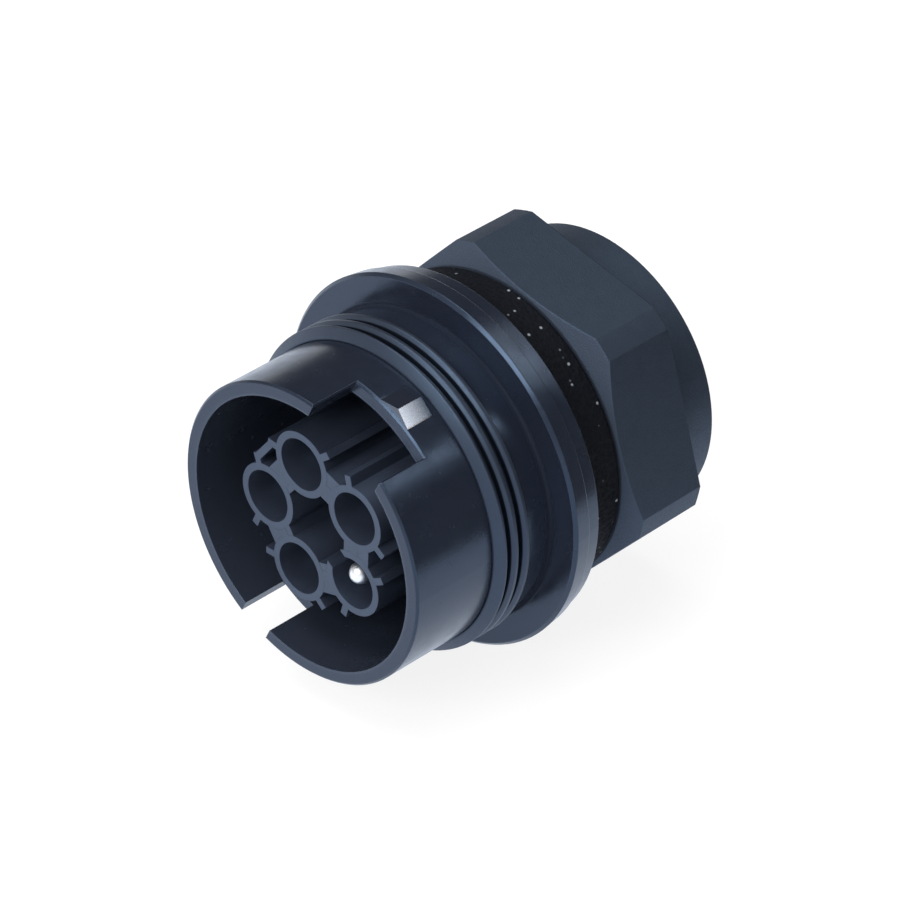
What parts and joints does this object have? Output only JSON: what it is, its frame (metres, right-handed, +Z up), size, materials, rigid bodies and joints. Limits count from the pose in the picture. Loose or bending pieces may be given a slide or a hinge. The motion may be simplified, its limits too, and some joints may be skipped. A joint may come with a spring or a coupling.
{
  "type": "panel mount connector",
  "caption": "Round panel mount power connector: keyed shroud, pin contacts in insulating tubes, lip seal, flange, panel gasket and a hexagonal lock nut on a threaded sleeve.",
  "frame": {"origin": "on the connector's axis, in the plane of the flange's rear face, which is the panel seat", "axes": "+Y along the axis from the mating face to the rear, +Z up, +X to the right seen from the front"},
  "size_m": [0.0361, 0.0379, 0.036],
  "materials": {
    "housing_plastic": "moulded black plastic with a satin gloss",
    "nut_plastic": "moulded plastic with a fine matte grain",
    "insert_plastic": "moulded dark grey plastic",
    "seal_rubber": "smooth black rubber",
    "gasket_rubber": "dull black cellular rubber",
    "contact_plating": "silver plating on brass"
  },
  "bodies": {
    "connector": {"housing": "housing_plastic", "coupling_seal": "seal_rubber", "contact_carrier": "insert_plastic", "carrier_cap": "insert_plastic", "pin_tube_1": "insert_plastic", "pin_tube_2": "insert_plastic", "earth_tube": "insert_plastic", "pin_tube_3": "insert_plastic", "pin_tube_4": "insert_plastic", "contact_pin_1": "contact_plating", "contact_pin_2": "contact_plating", "earth_pin": "contact_plating", "contact_pin_3": "contact_plating", "contact_pin_4": "contact_plating", "carrier_seal": "seal_rubber", "contact_retainer": "insert_plastic", "retaining_ring": "housing_plastic", "panel_gasket": "gasket_rubber"},
    "nut": {"lock_nut": "nut_plastic"}
  },
  "joints": [
    {"name": "nut_slide", "type": "slide", "parent": "connector", "child": "nut", "axis": [0, 1, 0], "range_m": [0, 0.012]}
  ]
}
